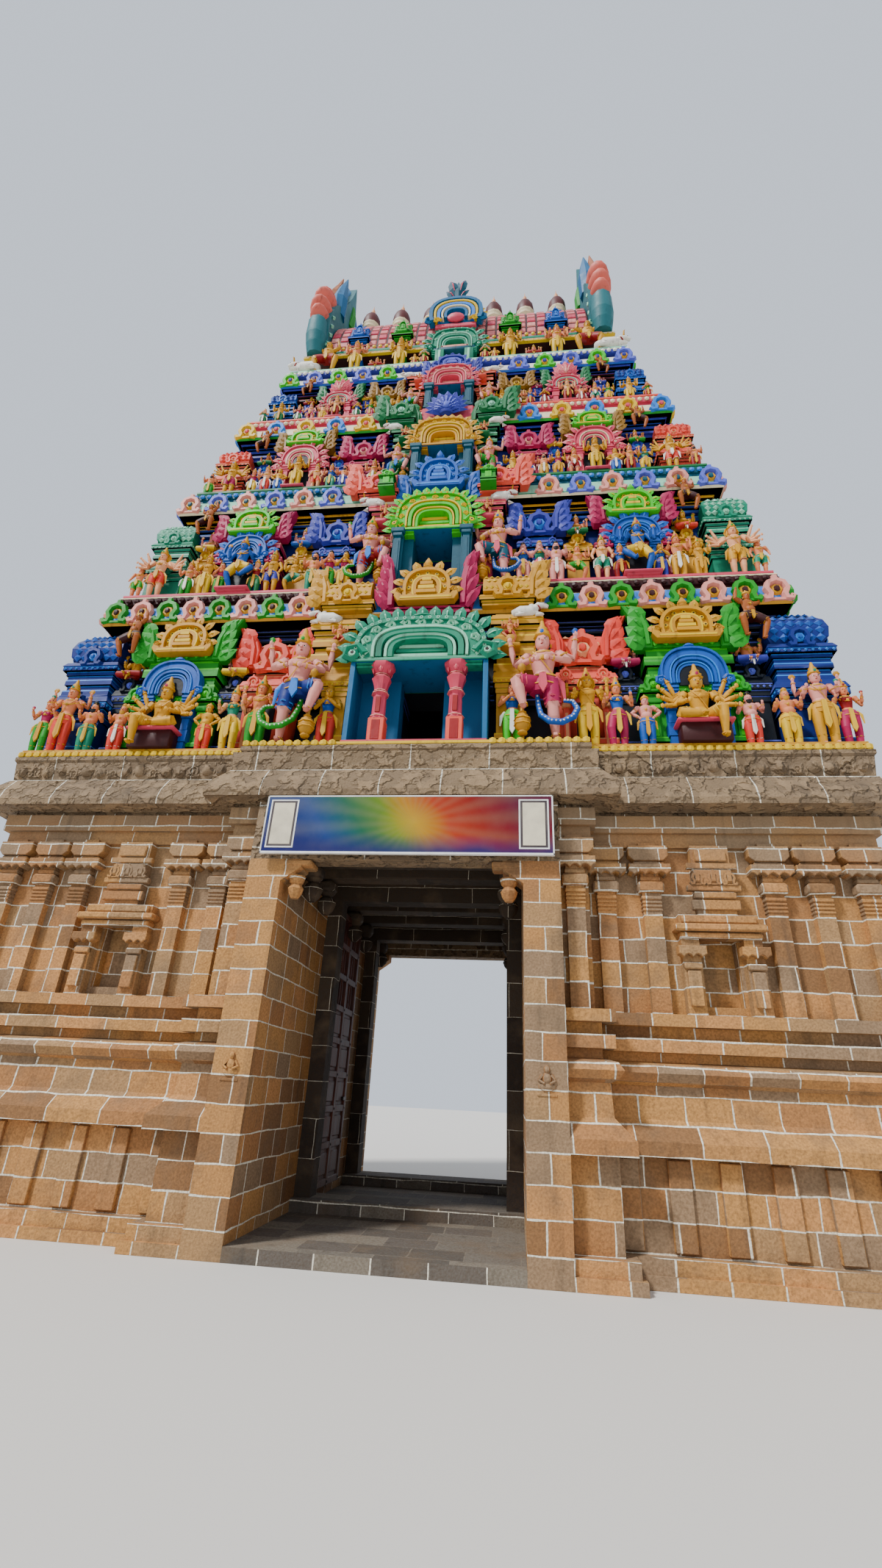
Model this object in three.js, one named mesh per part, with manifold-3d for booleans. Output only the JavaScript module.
// A South Indian gateway tower (gopuram): a stone base with a gate passage, four painted storeys
// set back one above the other, a neck storey and a barrel roof with end gables and finials.
// Millimetres, +Z up, the front looks along -Y, the origin is on the ground in the footprint's middle.
import * as THREE from "three";
import { mergeVertices } from "three/addons/utils/BufferGeometryUtils.js";
import Module from "manifold-3d";

const wasm = await Module();
wasm.setup();

// Gap between pieces that rest on or against each other
const GAP = 0.3;
// How far two solids that are joined reach into each other
const LAP = 1;

// Gate passage
const GATE_HALF = 1600;
const PIER_OUT = 2070;
const PIER_FRONT = 3500;
const PIER_TOP = 4450;
const PIER_CORBEL = { reach: 260, height: 300, tip: 110 };
const CEILING = 4850;
const FLOOR_TOP = 140;
const SILL_TOP = 300;
// How far a sill stands out before and behind its door frame
const SILL_REACH = 150;

// Stone base: half sizes of its wall plane, and of the bay beside the gate
const BASE_HALF = 6200;
const BASE_DEPTH = 2870;
const BAY_HALF = 2450;
const BAY_DEPTH = 3170;
const WALL_FOOT = 2680;
const BASE_TOP = 5290;
// Height and distance in front of the wall plane, from the foot courses to the bench course
const BASE_PROFILE = [
  [0, 330],
  [120, 330],
  [120, 280],
  [270, 280],
  [270, 150],
  [1180, 150],
  [1180, 330],
  [1330, 330],
  [1540, 130],
  [1890, 110],
  [1930, 200],
  [2020, 260],
  [2110, 200],
  [2150, 50],
  [2250, 50],
  [2250, 190],
  [2400, 190],
  [2400, 60],
  [2540, 60],
  [2540, 210],
  [2680, 210],
];
const WALL_PROFILE = [
  [WALL_FOOT + GAP, 0],
  [4850, 0],
  [4850, 60],
  [5040, 60],
  [5040, 130],
  [BASE_TOP, 130],
];
// Pilasters of the base wall: centres along the front, and along each end
const PILASTER_X = [2700, 3280, 4830, 5400, 5990];
const PILASTER_Y = [-2550, -1700, -850, 850, 1700, 2550];
const PILASTER = { width: 230, proud: 110, top: 4900 };
const BAY_PILASTER_X = 2270;
const NICHE = {
  x: 4070, width: 980, foot: 2800, opening: 3650, top: 4850, proud: 150,
  jamb: 220, hood: 260, recessHalf: 230, recessDeep: 200,
};

// Curved stone cornice and carved frieze on the base: height, and distance before the wall plane
const CORNICE_TOP = 5850;
const CORNICE_PROFILE = [
  [BASE_TOP + GAP, 60],
  [5350, 60],
  [5350, 440],
  [5440, 450],
  [5610, 390],
  [CORNICE_TOP, 220],
];
const FRIEZE_TOP = 6150;
const FRIEZE_OUT = [200, 230];
// Step of the lowest bead ledge over the gate
const LEDGE_STEP = { side: 130, front: 230 };

// Board over the gate: left and right edge, foot and top, and the battens that carry it
const BOARD = { left: -1900, right: 2000, foot: 4480, top: 5320, thick: 50, standOff: 120 };
const BATTEN = { x: [-1300, 1400], width: 80, foot: 4560, top: 5240 };

// Storeys: height of the bead ledge, half sizes of the ledge and of the wall. portal has the half
// width of its bay, of its doorway and of its arch, its front, the height of its springing and crown.
// bay and corner have the centre and half width of the crested bay and of the corner pavilion.
const STOREYS = [
  {
    ledge: 6340, half: 6460, depth: 3120, wall: 5650, wallDepth: 2350, thick: 600,
    portal: { half: 1100, door: 360, arch: 1000, front: 3300, spring: 7800, crown: 8920 },
    bay: { x: 4250, half: 760, crest: 9040 },
    shrine: { x: 2640, half: 300, top: 8500 },
    corner: { x: 5890, half: 455, top: 8820 },
    figures: [
      [1900, 2100], [1400, 1400], [2900, 1200], [3300, 1150],
      [5150, 1250], [5700, 1350], [6180, 1300],
    ],
    seated: 1050,
  },
  {
    ledge: 9920, half: 5950, depth: 2710, wall: 5180, wallDepth: 1990, thick: 550,
    portal: { half: 740, door: 370, arch: 700, front: 2850, spring: 11000, crown: 12260 },
    bay: { x: 3700, half: 700, crest: 12250 },
    shrine: { x: 1900, half: 330, top: 11900 },
    corner: { x: 5420, half: 400, top: 11900 },
    figures: [
      [1130, 1750], [1750, 1150], [2300, 1100], [2780, 1100],
      [4620, 1100], [5100, 1150], [5650, 1150],
    ],
    seated: 1000,
  },
  {
    ledge: 13200, half: 5400, depth: 2270, wall: 4680, wallDepth: 1600, thick: 500,
    portal: { half: 660, door: 350, arch: 620, front: 2370, spring: 14150, crown: 15170 },
    bay: { x: 3190, half: 640, crest: 15240 },
    shrine: { x: 1800, half: 280, top: 14900 },
    corner: { x: 4860, half: 380, top: 14770 },
    figures: [
      [1020, 1250], [1450, 1000], [2150, 950], [2480, 950],
      [4000, 950], [4550, 1000], [5080, 1000],
    ],
    seated: 850,
  },
  {
    ledge: 16100, half: 4870, depth: 1850, wall: 4180, wallDepth: 1230, thick: 420,
    portal: { half: 580, door: 300, arch: 540, front: 1920, spring: 16850, crown: 17740 },
    bay: { x: 2750, half: 520, crest: 17780 },
    shrine: { x: 1550, half: 240, top: 17450 },
    corner: { x: 4250, half: 340, top: 17150 },
    figures: [
      [900, 950], [1250, 850], [1900, 850], [2150, 850],
      [3450, 850], [3900, 850], [4550, 850],
    ],
    seated: 750,
  },
];
const CORNICES = [
  { edge: 9240, half: 6060, depth: 2800 },
  { edge: 12490, half: 5550, depth: 2390 },
  { edge: 15400, half: 5000, depth: 1950 },
  { edge: 17950, half: 4460, depth: 1520 },
];
const NECK = { ledge: 18600, half: 4400, depth: 1470, wall: 3600, wallDepth: 900, thick: 280 };
const NECK_DOOR = { half: 260, height: 620 };
const NECK_CLEAR = 70;
const NECK_ARCH = { half: 620, rise: 1500 };
const NECK_FIGURE = 1200;
const NECK_FIGURES_X = [1100, 1750, 2400, 3050];
// Deck: how far its cornice hangs below its edge, its floor slab, and its profile as height over the
// edge or below the top, and distance before the cornice's edge
const DECK_DROP = 150;
const DECK_SLAB = 300;
const DECK_EDGE = [[-60, -420], [-60, -20], [40, 0], [200, -110], [300, -330]];
const DECK_STEP = { below: 170, out: -330 };
const DECK_BAY = 20;

// Portal columns of the first storey, and the depth of an arch plate and of a plinth course
const COLUMN = { x: 600, radius: 150, neck: 100 };
const ARCH_THICK = 260;
const PLINTH = 60;
// Depth of the ledge strip that the figures stand on
const STRIP = 300;
// Ledge in front of a portal, and beside it
const PORTAL_LEDGE = 50;
const PORTAL_SIDE = 60;
// How far a bay or shrine runs back into the wall
const WALL_BITE = 100;
// Portal: its jambs, the roof slab's share of the rise, and the arch opening's shares of the arch
const PORTAL = { sideWall: 120, jamb: 60, slab: 0.12, plate: 0.95, openHalf: 0.62, openRise: 0.6 };
// Shaft of a portal column: the heights of its foot and head as shares
const SHAFT = { foot: 0.12, head: 0.8 };
// Crested bay, mini shrine and end bay: springing as a share of the rise, arch as a share of the width
const BAY = { spring: 0.6, arch: 0.8 };
const SHRINE = { spring: 0.7, arch: 0.8 };
const END_BAY = { spring: 0.55, arch: 0.8 };
// Corner pavilion: tops of its body and eave as shares of its height, and the eave's spread
const PAVILION = { body: 0.5, eave: 0.58, spread: 1.12 };
// Horseshoe arch: foot, lower and upper control point as shares of half width and height
const HORSESHOE = { foot: 0.75, low: [1.2, 0.3], high: [1.05, 0.75] };
// Turned shapes as shares of radius and height
const DOME = [[0, 0], [0.9, 0], [1, 0.14], [0.6, 0.32], [0, 0.42]];
const STANDING = [[0, 0], [0.12, 0], [0.13, 0.5], [0.15, 0.8], [0, 1]];
const SITTING = [[0, 0], [0.34, 0], [0.33, 0.3], [0.2, 0.7], [0, 1]];
const FINIAL = [[0, 0], [0.8, 0], [0.5, 0.12], [1, 0.32], [0.9, 0.5], [0.25, 0.7], [0, 1]];
const DOME_SIDES = 6;
const FIGURE_SIDES = 5;
// Plinth course under the figures: its set-back from the ledge's edge and end, and before the portal
const PLINTH_BACK = { edge: 20, end: 40, portal: 30, neck: 60 };

// Barrel roof
const ROOF = { eave: 19650, half: 3500, depth: 1250, ridge: 22400, shell: 250 };
const ROOF_EDGE = 150;
// Side of the roof and its eave's bulge as shares and as a distance
const ROOF_CURVE = { bulge: 100, low: 0.35, shoulder: 0.75, high: 0.85 };
const GABLE = { thick: 650, tip: 25400 };
// Right-hand edge of the end gable: foot, belly, shoulder and horn, as Y and height over the eave
const GABLE_EDGE = {
  foot: 1350, belly: [1750, 1100], swell: [1650, 2300], shoulder: [900, 3100], horn: [450, 3900],
};
const CREST = { half: 820, foot: 500, height: 2000, thick: 300, bite: 60 };
const KALASHA = { count: 7, pitch: 950, radius: 270, tip: 24150, strip: 300, stripTop: 80, stripHalf: 150 };

// Gate leaves, seen at rest: open along the passage sides
const LEAF = { pivotX: 1490, pivotY: -740, width: 1480, thick: 100, foot: 320, top: 4480, pin: 30 };
const LATCH = { from: 260, to: 60, foot: 1500, top: 1560, proud: 20 };
const BEARING = { half: 90, height: 150 };
const FRAME_FRONT = { y0: -1140, y1: -810, top: 4520 };
const FRAME_REAR = { y0: 1870, y1: 2200, top: 4520 };
const POST_INNER = 1366;
const POST_ROUND = 16;

const STONE = { color: 0x9c7a56, roughness: 0.9 };
const DARK_STONE = { color: 0x6f6558, roughness: 0.95 };
const WOOD = { color: 0x3d211a, roughness: 0.7 };
const PAINTS = [0x2f8f86, 0xd77a8e, 0xd2a63c, 0x3f78b8];

// Solids from three.js geometry

function solid(geometry) {
  const bare = new THREE.BufferGeometry();
  bare.setAttribute("position", geometry.getAttribute("position"));
  bare.setIndex(geometry.index);
  const merged = mergeVertices(bare, 0.001);
  return new wasm.Manifold(
    new wasm.Mesh({
      numProp: 3,
      vertProperties: merged.getAttribute("position").array,
      triVerts: Uint32Array.from(merged.index.array),
    }),
  );
}

function join(solids) {
  return solids.reduce((all, next) => all.add(next));
}

function box(x0, x1, y0, y1, z0, z1) {
  const geometry = new THREE.BoxGeometry(x1 - x0, y1 - y0, z1 - z0);
  return solid(geometry.translate((x0 + x1) / 2, (y0 + y1) / 2, (z0 + z1) / 2));
}

function extruded(points, depth) {
  const shape = new THREE.Shape(points.map(([x, y]) => new THREE.Vector2(x, y)));
  return new THREE.ExtrudeGeometry(shape, { depth, bevelEnabled: false });
}

// Plan outline raised from z0 to z1
function prism(points, z0, z1) {
  return solid(extruded(points, z1 - z0).translate(0, 0, z0));
}

// Outline in X and Z, made thick from y0 to y1
function plate(points, y0, y1) {
  return solid(
    extruded(points, y1 - y0)
      .rotateX(Math.PI / 2)
      .translate(0, y1, 0),
  );
}

// Outline in Y and Z, made thick from x0 to x1
function sidePlate(points, x0, x1) {
  return solid(
    extruded(points, x1 - x0)
      .rotateX(Math.PI / 2)
      .rotateZ(Math.PI / 2)
      .translate(x0, 0, 0),
  );
}

// Profile of radius and height, turned about an upright axis
function turned(profile, sides, x, y, z) {
  const points = profile.map(([radius, height]) => new THREE.Vector2(radius, height));
  const geometry = new THREE.LatheGeometry(points, sides);
  return solid(geometry.rotateX(Math.PI / 2).rotateZ(Math.PI / sides).translate(x, y, z));
}

// Triangles that close a plan whose corners have moved outwards
function capOf(corners, out) {
  const ring = corners.map(([x, y, outX, outY]) => new THREE.Vector2(x + out * outX, y + out * outY));
  return THREE.ShapeUtils.triangulateShape(ring, []);
}

// Stack of courses on a plan with square corners. A corner is x, y and the way it moves outwards.
function moulded(corners, profile) {
  const positions = [];
  for (const [z, out] of profile) {
    for (const [x, y, outX, outY] of corners) positions.push(x + out * outX, y + out * outY, z);
  }
  const count = corners.length;
  const index = [];
  for (let level = 0; level + 1 < profile.length; level++) {
    for (let i = 0; i < count; i++) {
      const a = level * count + i;
      const b = level * count + ((i + 1) % count);
      index.push(a, b, b + count, a, b + count, a + count);
    }
  }
  const last = profile.length - 1;
  for (const [a, b, c] of capOf(corners, profile[0][1])) index.push(a, c, b);
  for (const [a, b, c] of capOf(corners, profile[last][1])) {
    index.push(last * count + a, last * count + b, last * count + c);
  }
  const geometry = new THREE.BufferGeometry();
  geometry.setAttribute("position", new THREE.Float32BufferAttribute(positions, 3));
  geometry.setIndex(index);
  return solid(geometry);
}

// Rectangle about the origin, with a bay that steps forward at the front and the rear
function steppedPlan(half, depth, bayHalf, bayDepth) {
  return [
    [-half, -depth, -1, -1],
    [-bayHalf, -depth, -1, -1],
    [-bayHalf, -bayDepth, -1, -1],
    [bayHalf, -bayDepth, 1, -1],
    [bayHalf, -depth, 1, -1],
    [half, -depth, 1, -1],
    [half, depth, 1, 1],
    [bayHalf, depth, 1, 1],
    [bayHalf, bayDepth, 1, 1],
    [-bayHalf, bayDepth, -1, 1],
    [-bayHalf, depth, -1, 1],
    [-half, depth, -1, 1],
  ];
}

// Horseshoe arch with a pointed crown, from its foot at z
function horseshoe(x, z, halfWidth, height, steps) {
  const foot = HORSESHOE.foot * halfWidth;
  const [lowX, lowZ] = [HORSESHOE.low[0] * halfWidth, z + HORSESHOE.low[1] * height];
  const [highX, highZ] = [HORSESHOE.high[0] * halfWidth, z + HORSESHOE.high[1] * height];
  const shape = new THREE.Shape();
  shape.moveTo(x + foot, z);
  shape.bezierCurveTo(x + lowX, lowZ, x + highX, highZ, x, z + height);
  shape.bezierCurveTo(x - highX, highZ, x - lowX, lowZ, x - foot, z);
  return shape.getPoints(steps).map((point) => [point.x, point.y]);
}

// Small pieces that repeat on every storey

// Profile of shares as one of real radii and heights
function scaled(profile, radius, height) {
  return profile.map(([r, h]) => [r * radius, h * height]);
}

// Standing stucco figure
function figure(x, y, z, height) {
  return turned(scaled(STANDING, height, height), FIGURE_SIDES, x, y, z);
}

// Seated figure on a low throne
function seated(x, y, z, height) {
  return turned(scaled(SITTING, height, height), FIGURE_SIDES, x, y, z);
}

// Square corner pavilion with a body, an eave and a domed top
function pavilion(x, y, z, half, height) {
  const bodyTop = z + PAVILION.body * height;
  const eaveTop = z + PAVILION.eave * height;
  const spread = PAVILION.spread * half;
  const body = box(x - half, x + half, y - half, y + half, z, bodyTop);
  const roof = box(x - spread, x + spread, y - spread, y + spread, bodyTop - LAP, eaveTop);
  const dome = turned(scaled(DOME, half, height), DOME_SIDES, x, y, eaveTop - LAP);
  return join([body, roof, dome]);
}

// Mini shrine against the wall beside the portal
function shrine({ x, half, top }, y0, y1, z) {
  const spring = z + SHRINE.spring * (top - z);
  const body = box(x - half, x + half, y0, y1, z, spring);
  return body.add(plate(horseshoe(x, spring - LAP, SHRINE.arch * half, top - spring, 2), y0, y1));
}

// Wall bay with a horseshoe crest, standing out from the wall
function crestedBay({ x, half, crest }, [y0, y1], z, top) {
  const spring = z + BAY.spring * (top - z);
  const body = box(x - half, x + half, y0, y1, z, spring);
  const height = Math.min(crest, top - LAP) - spring;
  return body.add(plate(horseshoe(x, spring - LAP, BAY.arch * half, height, 3), y0, y1));
}

// Stone base

const baseCorners = [
  [GATE_HALF, -BAY_DEPTH, 0, -1],
  [BAY_HALF, -BAY_DEPTH, 1, -1],
  [BAY_HALF, -BASE_DEPTH, 1, -1],
  [BASE_HALF, -BASE_DEPTH, 1, -1],
  [BASE_HALF, BASE_DEPTH, 1, 1],
  [BAY_HALF, BASE_DEPTH, 1, 1],
  [BAY_HALF, BAY_DEPTH, 1, 1],
  [GATE_HALF, BAY_DEPTH, 0, 1],
];

// Room that the gate piers take out of the mass behind them
function pierRoom(solidMass) {
  const front = box(0, PIER_OUT + GAP, -2 * PIER_FRONT, -BAY_DEPTH + GAP, -LAP, BASE_TOP + LAP);
  const rear = box(0, PIER_OUT + GAP, BAY_DEPTH - GAP, 2 * PIER_FRONT, -LAP, BASE_TOP + LAP);
  return solidMass.subtract(front).subtract(rear);
}

function baseMouldings() {
  return pierRoom(moulded(baseCorners, BASE_PROFILE));
}

// Pilaster, centred on a point of the wall, across X or across Y
function pilaster(x, y, acrossX) {
  const half = PILASTER.width / 2;
  const [alongX, alongY] = acrossX ? [half, PILASTER.proud] : [PILASTER.proud, half];
  return box(x - alongX, x + alongX, y - alongY, y + alongY, WALL_FOOT + GAP, PILASTER.top);
}

// Shallow niche under a small carved temple front
function niche(sign) {
  const y = sign * BASE_DEPTH;
  const [near, far] = [Math.min(y, y + sign * NICHE.proud), Math.max(y, y + sign * NICHE.proud)];
  const half = NICHE.width / 2;
  const jambs = [-1, 1].map((side) => {
    const edges = [NICHE.x + side * half, NICHE.x + side * (half - NICHE.jamb)].sort((a, b) => a - b);
    return box(...edges, near - LAP, far + LAP, WALL_FOOT + GAP, NICHE.opening + LAP);
  });
  const hoodTop = NICHE.opening + NICHE.hood;
  const hood = box(NICHE.x - half, NICHE.x + half, near, far, NICHE.opening, hoodTop);
  const front = box(NICHE.x - half / 2, NICHE.x + half / 2, near, far, hoodTop - LAP, NICHE.top);
  return join([...jambs, hood, front]);
}

function baseWall() {
  const mass = pierRoom(moulded(baseCorners, WALL_PROFILE));
  const added = [niche(-1), niche(1)];
  for (const x of PILASTER_X) added.push(pilaster(x, -BASE_DEPTH, true), pilaster(x, BASE_DEPTH, true));
  for (const y of PILASTER_Y) added.push(pilaster(BASE_HALF, y, false));
  for (const y of [-BAY_DEPTH, BAY_DEPTH]) added.push(pilaster(BAY_PILASTER_X, y, true));
  const recess = [-1, 1].map((sign) => {
    const y = sign * BASE_DEPTH;
    const { x, recessHalf: half, recessDeep: deep } = NICHE;
    return box(x - half, x + half, y - deep, y + deep, NICHE.foot, NICHE.opening - LAP);
  });
  return join([mass, ...added]).subtract(recess[0]).subtract(recess[1]);
}

// Gate pier with the corbel that carries the lintel
function pier(side) {
  const foot = PIER_TOP - PIER_CORBEL.height;
  const tip = GATE_HALF - PIER_CORBEL.reach;
  const outline = [
    [PIER_OUT, 0],
    [PIER_OUT, PIER_TOP],
    [tip, PIER_TOP],
    [tip, PIER_TOP - PIER_CORBEL.tip],
    [GATE_HALF, foot],
    [GATE_HALF, 0],
  ];
  return plate(outline.map(([x, z]) => [side * x, z]), -PIER_FRONT, -BAY_DEPTH - GAP);
}

function gateLintel() {
  return box(-PIER_OUT, PIER_OUT, -PIER_FRONT, -BAY_DEPTH - GAP, PIER_TOP + GAP, BASE_TOP);
}

function passageCeiling() {
  const half = GATE_HALF - GAP;
  return box(-half, half, -BAY_DEPTH, BAY_DEPTH, CEILING, BASE_TOP);
}

function passageFloor() {
  const half = GATE_HALF - GAP;
  const slab = box(-half, half, -PIER_FRONT, PIER_FRONT, 0, FLOOR_TOP);
  const sills = [FRAME_FRONT, FRAME_REAR].map(({ y0, y1 }) => (
    box(-half, half, y0 - SILL_REACH, y1 + SILL_REACH, FLOOR_TOP - LAP, SILL_TOP)));
  return join([slab, ...sills]);
}

// Two stone posts and the lintel on them, in one plane across the passage
function doorFrame(frame) {
  const half = GATE_HALF - GAP;
  const foot = SILL_TOP + GAP;
  return join([
    box(-half, -POST_INNER, frame.y0, frame.y1, foot, frame.top + LAP),
    box(POST_INNER, half, frame.y0, frame.y1, foot, frame.top + LAP),
    box(-half, half, frame.y0, frame.y1, frame.top, CEILING - GAP),
  ]);
}

// Bearing over a leaf's upper pivot, held by the door frame's lintel
function pivotArm(side) {
  const x = side * LEAF.pivotX;
  const { half, height } = BEARING;
  const [y0, y1] = [FRAME_FRONT.y1 - LAP, LEAF.pivotY + half];
  return box(x - half, x + half, y0, y1, FRAME_FRONT.top, FRAME_FRONT.top + height);
}

// Wooden leaf about its own pivot, which is the mesh's origin
function leaf(side) {
  const half = LEAF.thick / 2;
  const stile = turned([[0, 0], [half, 0], [half, LEAF.top - LEAF.foot], [0, LEAF.top - LEAF.foot]],
    POST_ROUND, 0, 0, LEAF.foot);
  const board = box(-half, half, 0, LEAF.width, LEAF.foot, LEAF.top);
  const pinFoot = SILL_TOP + GAP;
  const pinTop = FRAME_FRONT.top - GAP;
  const pin = turned([[0, 0], [LEAF.pin, 0], [LEAF.pin, pinTop - pinFoot], [0, pinTop - pinFoot]],
    POST_ROUND, 0, 0, pinFoot);
  const { from, to, proud } = LATCH;
  const face = -side * half;
  const latch = box(face - proud, face + proud, LEAF.width - from, LEAF.width - to, LATCH.foot, LATCH.top);
  return join([stile, board, pin, latch]);
}

// Curved stone cornice on a plan that steps forward over the gate
function baseCornice() {
  return moulded(steppedPlan(BASE_HALF, BASE_DEPTH, BAY_HALF, BAY_DEPTH), CORNICE_PROFILE);
}

function frieze() {
  const plan = steppedPlan(BASE_HALF, BASE_DEPTH, BAY_HALF, BAY_DEPTH);
  return moulded(plan, [[CORNICE_TOP + GAP, FRIEZE_OUT[0]], [FRIEZE_TOP, FRIEZE_OUT[1]]]);
}

function beadLedge() {
  const s = STOREYS[0];
  const plan = steppedPlan(s.half, s.depth, BAY_HALF + LEDGE_STEP.side, BAY_DEPTH + LEDGE_STEP.front);
  return moulded(plan, [[FRIEZE_TOP + GAP, 0], [s.ledge, 0]]);
}

// Board hung over the gate on two battens
function nameBoard() {
  const middle = -PIER_FRONT - BOARD.standOff;
  const [front, back] = [middle - BOARD.thick / 2, middle + BOARD.thick / 2];
  const board = box(BOARD.left, BOARD.right, front, back, BOARD.foot, BOARD.top);
  const half = BATTEN.width / 2;
  const battens = BATTEN.x.map((x) => (
    box(x - half, x + half, back - LAP, -PIER_FRONT - GAP, BATTEN.foot, BATTEN.top)));
  return join([board, ...battens]);
}

// Painted storeys

// Distance from the tower's middle to the back of the strip that carries the figures
function stripBack(s) {
  return s.depth - STRIP;
}

// Right-hand wall of a storey: hollow, with its corner pavilions, crested bays and mini shrines
function storeyWall(s, top) {
  const inner = s.wall - s.thick;
  const innerDepth = s.wallDepth - s.thick;
  const start = s.portal.half + GAP;
  const foot = s.ledge + GAP;
  const outline = [
    [start, -s.wallDepth],
    [s.wall, -s.wallDepth],
    [s.wall, s.wallDepth],
    [start, s.wallDepth],
    [start, innerDepth],
    [inner, innerDepth],
    [inner, -innerDepth],
    [start, -innerDepth],
  ];
  const parts = [prism(outline, foot, top - GAP)];
  const face = stripBack(s) - GAP;
  const eave = PAVILION.spread * s.corner.half;
  for (const sign of [-1, 1]) {
    const inOrder = (a, b) => [sign * a, sign * b].sort((p, q) => p - q);
    const cornerRise = Math.min(s.corner.top, top - LAP) - foot;
    parts.push(pavilion(s.corner.x, sign * (face - eave), foot, s.corner.half, cornerRise));
    parts.push(crestedBay(s.bay, inOrder(s.wallDepth - WALL_BITE, face), foot, top));
    const [y0, y1] = inOrder(s.wallDepth - WALL_BITE, (s.wallDepth + face) / 2);
    parts.push(shrine(s.shrine, y0, y1, foot));
  }
  parts.push(endBay(s, foot, top));
  return join(parts);
}

// Crested bay in the middle of a storey's short side
function endBay(s, foot, top) {
  const out = s.half - STRIP;
  const half = s.bay.half;
  const spring = foot + END_BAY.spring * (top - foot);
  const back = s.wall - WALL_BITE;
  const body = box(back, out, -half, half, foot, spring);
  const crest = horseshoe(0, spring - LAP, END_BAY.arch * half, top - spring - LAP, 3);
  return body.add(sidePlate(crest, back, out));
}

// Turned column before the portal, on the plinth course
function column(side, s, step) {
  const { x, radius, neck } = COLUMN;
  const rise = s.portal.spring - step;
  const shaft = [
    [0, 0],
    [radius, 0],
    [neck, SHAFT.foot * rise],
    [neck, SHAFT.head * rise],
    [radius, rise + LAP],
    [0, rise + LAP],
  ];
  return turned(shaft, DOME_SIDES, side * x, -s.portal.front + radius, step);
}

// Front portal of a storey: doorway in the wall, side walls, slab and open arch, and columns or none
function portal(s, top, hasColumns) {
  const { half, door, arch, front, spring, crown } = s.portal;
  const foot = s.ledge + GAP;
  const step = foot + PLINTH + GAP;
  const back = -(s.wallDepth - s.thick);
  const face = -s.wallDepth;
  const jamb = hasColumns ? half - PORTAL.sideWall : door + PORTAL.jamb;
  const slab = spring + PORTAL.slab * (crown - spring);
  const [y0, y1] = [-front, -front + ARCH_THICK];
  const archPlate = plate(horseshoe(0, slab - LAP, PORTAL.plate * arch, crown - slab, 5), y0, y1);
  const opening = horseshoe(0, slab, PORTAL.openHalf * arch, PORTAL.openRise * (crown - slab), 4);
  const parts = [
    box(-half, -door, face, back, foot, top - GAP),
    box(door, half, face, back, foot, top - GAP),
    box(-door - LAP, door + LAP, face, back, spring, top - GAP),
    box(-half, -jamb, -front, face + LAP, step, spring),
    box(jamb, half, -front, face + LAP, step, spring),
    box(-half, half, -front, face + LAP, spring - LAP, slab),
    archPlate.subtract(plate(opening, y0 - LAP, y1 + LAP)),
  ];
  if (hasColumns) parts.push(column(-1, s, step), column(1, s, step));
  return join(parts);
}

// Storey deck: curved cornice below, floor and bead ledge on top, hollow from beneath
function deck(cornice, next, below) {
  const top = next.ledge;
  const foot = cornice.edge - DECK_DROP;
  const inset = cornice.half - next.half;
  const profile = [
    [foot + GAP, DECK_EDGE[0][1]],
    ...DECK_EDGE.map(([height, out]) => [cornice.edge + height, out]),
    [top - DECK_STEP.below, DECK_STEP.out],
    [top - DECK_STEP.below, -inset],
    [top, -inset],
  ];
  const { half, front } = next.portal ?? { half: NECK_ARCH.half, front: NECK.depth };
  const bayHalf = half + PORTAL_SIDE + inset + DECK_BAY;
  const plan = steppedPlan(cornice.half, cornice.depth, bayHalf, front + PORTAL_LEDGE + inset);
  const [room, roomDepth] = [below.wall - below.thick, below.wallDepth - below.thick];
  const hollow = box(-room, room, -roomDepth, roomDepth, foot - LAP, top - DECK_SLAB);
  return moulded(plan, profile).subtract(hollow);
}

// Stucco figures of a storey's front, on one plinth course that also carries the portal
function figures(s) {
  const { half, front } = s.portal;
  const foot = s.ledge + GAP;
  const [edge, back] = [-s.depth + PLINTH_BACK.edge, -stripBack(s)];
  const [end, bay] = [s.half - PLINTH_BACK.end, half + PORTAL_SIDE];
  const step = -front - PLINTH_BACK.portal;
  const plinth = prism([
    [-end, edge],
    [-bay, edge],
    [-bay, step],
    [bay, step],
    [bay, edge],
    [end, edge],
    [end, back],
    [half, back],
    [half, -s.wallDepth - GAP],
    [-half, -s.wallDepth - GAP],
    [-half, back],
    [-end, back],
  ], foot, foot + PLINTH);
  const parts = [];
  for (const side of [-1, 1]) {
    for (const [x, height] of s.figures) {
      parts.push(figure(side * x, (edge + back) / 2, foot + PLINTH - LAP, height));
    }
    parts.push(seated(side * s.bay.x, back, foot + PLINTH - LAP, s.seated));
  }
  const behind = box(-end - LAP, end + LAP, back, 0, foot - LAP, NECK.ledge);
  return plinth.add(join(parts).subtract(behind));
}

// Neck storey and roof

// Hollow wall of the neck storey with a doorway at the front and one at the rear
function neckWall() {
  const n = NECK;
  const [inner, innerDepth] = [n.wall - n.thick, n.wallDepth - n.thick];
  const foot = n.ledge + GAP;
  const head = foot + NECK_DOOR.height;
  const top = ROOF.eave - ROOF_EDGE - GAP;
  const mass = box(-n.wall, n.wall, -n.wallDepth, n.wallDepth, foot, top);
  const room = box(-inner, inner, -innerDepth, innerDepth, foot - LAP, top + LAP);
  const doors = box(-NECK_DOOR.half, NECK_DOOR.half, -n.depth, n.depth, foot - LAP, head);
  return mass.subtract(room).subtract(doors);
}

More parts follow.
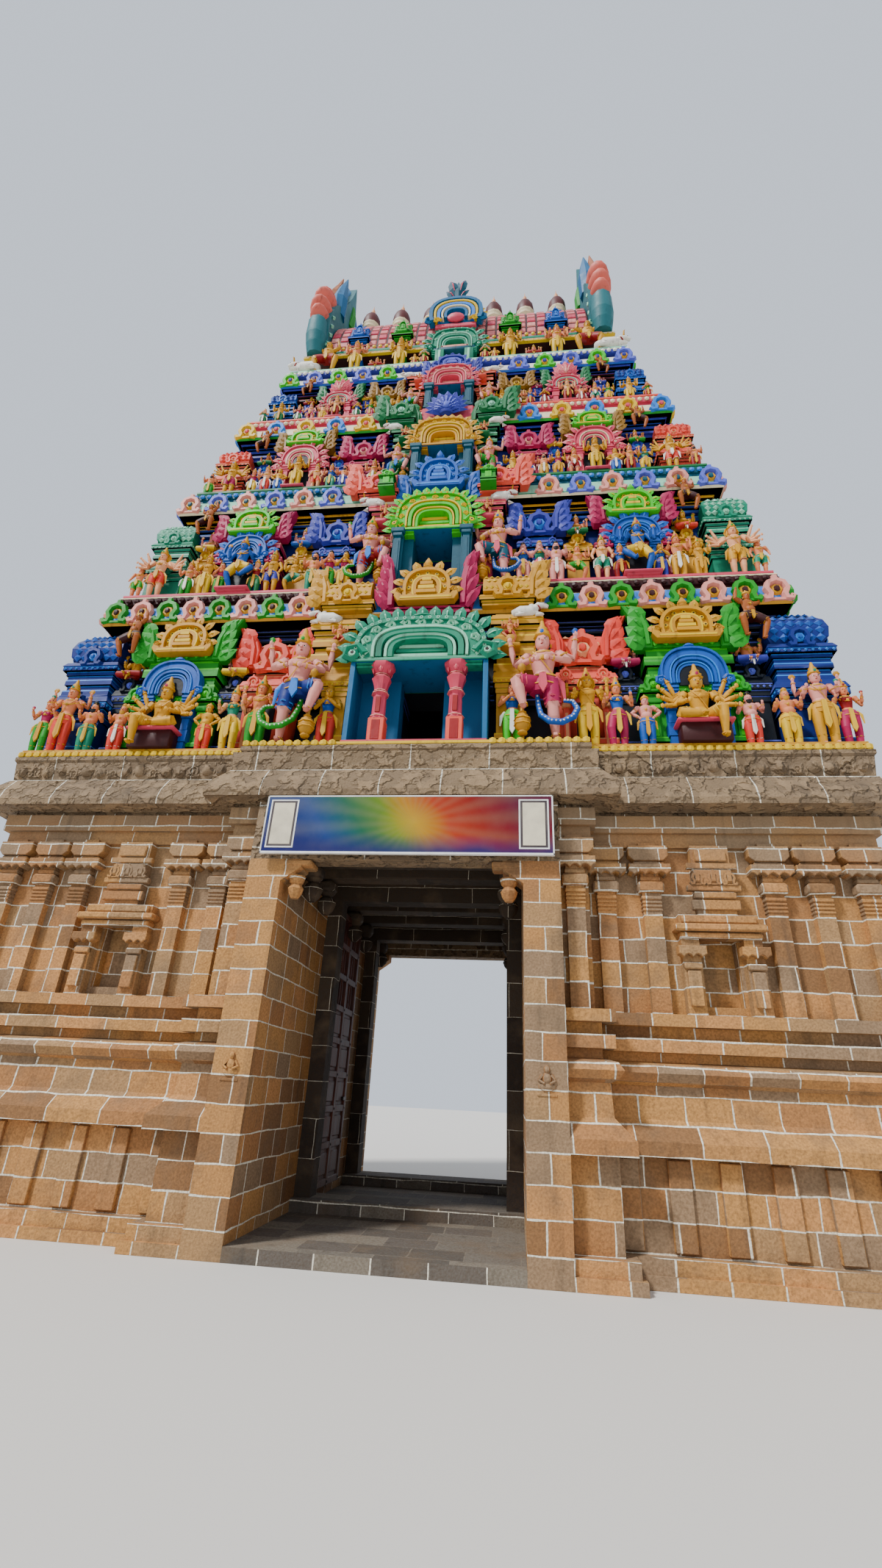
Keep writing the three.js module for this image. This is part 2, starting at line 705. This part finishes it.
// Arch before the neck storey's doorway, with the standing figures beside it on one strip
function neckFigures() {
  const foot = NECK.ledge + GAP;
  const front = -NECK.depth + PLINTH_BACK.edge;
  const end = NECK.half - PLINTH_BACK.neck;
  const back = -ROOF.depth - NECK_CLEAR;
  const head = foot + NECK_DOOR.height;
  const arch = plate(horseshoe(0, foot, NECK_ARCH.half, NECK_ARCH.rise, 4), front, back);
  const doorway = box(-NECK_DOOR.half, NECK_DOOR.half, front - LAP, back + LAP, foot - LAP, head);
  const parts = [arch.subtract(doorway), box(-end, end, front, back, foot, foot + PLINTH)];
  for (const side of [-1, 1]) {
    for (const x of NECK_FIGURES_X) parts.push(figure(side * x, back, foot + PLINTH - LAP, NECK_FIGURE));
  }
  return join(parts).subtract(box(-NECK.half, NECK.half, back, 0, foot - LAP, ROOF.ridge));
}

// Section of the barrel roof in Y and Z: the eave bulges, then the sides rise to the ridge
function roofSection(inset) {
  const depth = ROOF.depth - inset;
  const ridge = ROOF.ridge - inset;
  const rise = ridge - ROOF.eave;
  const low = [depth + ROOF_CURVE.bulge, ROOF.eave + ROOF_CURVE.low * rise];
  const high = [ROOF_CURVE.shoulder * depth, ROOF.eave + ROOF_CURVE.high * rise];
  const shape = new THREE.Shape();
  shape.moveTo(-depth, ROOF.eave);
  shape.bezierCurveTo(-low[0], low[1], -high[0], high[1], 0, ridge);
  shape.bezierCurveTo(high[0], high[1], low[0], low[1], depth, ROOF.eave);
  return shape.getPoints(6).map((point) => [point.x, point.y]);
}

function roofShell() {
  const outer = sidePlate(roofSection(0), -ROOF.half, ROOF.half);
  const inner = sidePlate(roofSection(ROOF.shell), -ROOF.half + ROOF.shell, ROOF.half - ROOF.shell);
  return outer.subtract(inner);
}

// Slab that closes the neck storey and carries the barrel roof
function roofEdge() {
  const half = ROOF.half + GABLE.thick;
  return box(-half, half, -ROOF.depth, ROOF.depth, ROOF.eave - ROOF_EDGE, ROOF.eave - GAP);
}

// End gable: a horseshoe plate that runs up into a pointed horn
function endGable() {
  const at = ([y, height]) => [y, ROOF.eave + height];
  const { foot, shoulder } = GABLE_EDGE;
  const [belly, swell, horn] = [at(GABLE_EDGE.belly), at(GABLE_EDGE.swell), at(GABLE_EDGE.horn)];
  const neck = at(shoulder);
  const shape = new THREE.Shape();
  shape.moveTo(foot, ROOF.eave);
  shape.bezierCurveTo(...belly, ...swell, ...neck);
  shape.quadraticCurveTo(...horn, 0, GABLE.tip);
  shape.quadraticCurveTo(-horn[0], horn[1], -neck[0], neck[1]);
  shape.bezierCurveTo(-swell[0], swell[1], -belly[0], belly[1], -foot, ROOF.eave);
  const inner = ROOF.half + GAP;
  return sidePlate(shape.getPoints(5).map((point) => [point.x, point.y]), inner, inner + GABLE.thick);
}

// Crest plate in the middle of the roof's front
function roofCrest() {
  const points = horseshoe(0, ROOF.eave + CREST.foot, CREST.half, CREST.height, 5);
  const crest = plate(points, -ROOF.depth - CREST.thick, -ROOF.depth + CREST.bite);
  return crest.subtract(sidePlate(roofSection(-GAP), -ROOF.half, ROOF.half));
}

// Finials on a ridge strip
function kalashas() {
  const foot = ROOF.ridge + GAP;
  const last = ((KALASHA.count - 1) / 2) * KALASHA.pitch;
  const { strip, stripHalf, stripTop } = KALASHA;
  const parts = [box(-last - strip, last + strip, -stripHalf, stripHalf, foot, foot + stripTop)];
  const height = KALASHA.tip - foot;
  for (let i = 0; i < KALASHA.count; i++) {
    const x = i * KALASHA.pitch - last;
    parts.push(turned(scaled(FINIAL, KALASHA.radius, height), DOME_SIDES, x, 0, foot));
  }
  return join(parts);
}

// Scene graph

const tower = new THREE.Group();

function add(name, shape, look) {
  const { numProp, vertProperties, triVerts } = shape.getMesh();
  const positions = new Float32Array((vertProperties.length / numProp) * 3);
  for (let i = 0; i < positions.length / 3; i++) {
    positions.set(vertProperties.subarray(i * numProp, i * numProp + 3), i * 3);
  }
  const geometry = new THREE.BufferGeometry();
  geometry.setAttribute("position", new THREE.BufferAttribute(positions, 3));
  geometry.setIndex(new THREE.BufferAttribute(triVerts, 1));
  geometry.computeVertexNormals();
  const mesh = new THREE.Mesh(geometry, new THREE.MeshStandardMaterial({ metalness: 0, ...look }));
  mesh.name = name;
  tower.add(mesh);
  return mesh;
}

// A piece on the right or at the front, and its twin turned half round
function addPair(name, twin, shape, look) {
  add(name, shape, look);
  add(twin, shape, look).rotation.z = Math.PI;
}

addPair("right_base_mouldings", "left_base_mouldings", baseMouldings(), STONE);
addPair("right_base_wall", "left_base_wall", baseWall(), STONE);
addPair("front_right_pier", "rear_left_pier", pier(1), STONE);
addPair("front_left_pier", "rear_right_pier", pier(-1), STONE);
addPair("front_lintel", "rear_lintel", gateLintel(), DARK_STONE);
add("passage_ceiling", passageCeiling(), DARK_STONE);
add("passage_floor", passageFloor(), DARK_STONE);
add("front_door_frame", join([doorFrame(FRAME_FRONT), pivotArm(-1), pivotArm(1)]), DARK_STONE);
add("rear_door_frame", doorFrame(FRAME_REAR), DARK_STONE);
for (const [name, side] of [["left_door", -1], ["right_door", 1]]) {
  const door = add(name, leaf(side), WOOD);
  door.position.set(side * LEAF.pivotX, LEAF.pivotY, 0);
}
add("base_cornice", baseCornice(), DARK_STONE);
add("frieze", frieze(), DARK_STONE);
add("bead_ledge", beadLedge(), { color: PAINTS[2], roughness: 0.6 });
add("name_board", nameBoard(), { color: 0x8890a0, roughness: 0.5 });

STOREYS.forEach((s, i) => {
  const number = i + 1;
  const top = CORNICES[i].edge - DECK_DROP;
  const look = { color: PAINTS[i], roughness: 0.6 };
  addPair(`storey${number}_right_wall`, `storey${number}_left_wall`, storeyWall(s, top), look);
  addPair(`storey${number}_front_portal`, `storey${number}_rear_portal`, portal(s, top, i === 0), look);
  addPair(`storey${number}_front_figures`, `storey${number}_rear_figures`, figures(s), look);
  add(`storey${number}_cornice`, deck(CORNICES[i], STOREYS[i + 1] ?? NECK, s), look);
});

add("neck_wall", neckWall(), DARK_STONE);
addPair("neck_front_figures", "neck_rear_figures", neckFigures(), { color: PAINTS[2], roughness: 0.6 });
add("roof_edge", roofEdge(), { color: PAINTS[2], roughness: 0.6 });
add("roof_shell", roofShell(), { color: PAINTS[1], roughness: 0.6 });
addPair("right_gable", "left_gable", endGable(), { color: PAINTS[0], roughness: 0.6 });
addPair("front_roof_crest", "rear_roof_crest", roofCrest(), { color: PAINTS[3], roughness: 0.6 });
add("kalashas", kalashas(), { color: 0x8a2f2a, roughness: 0.5 });

export default tower;
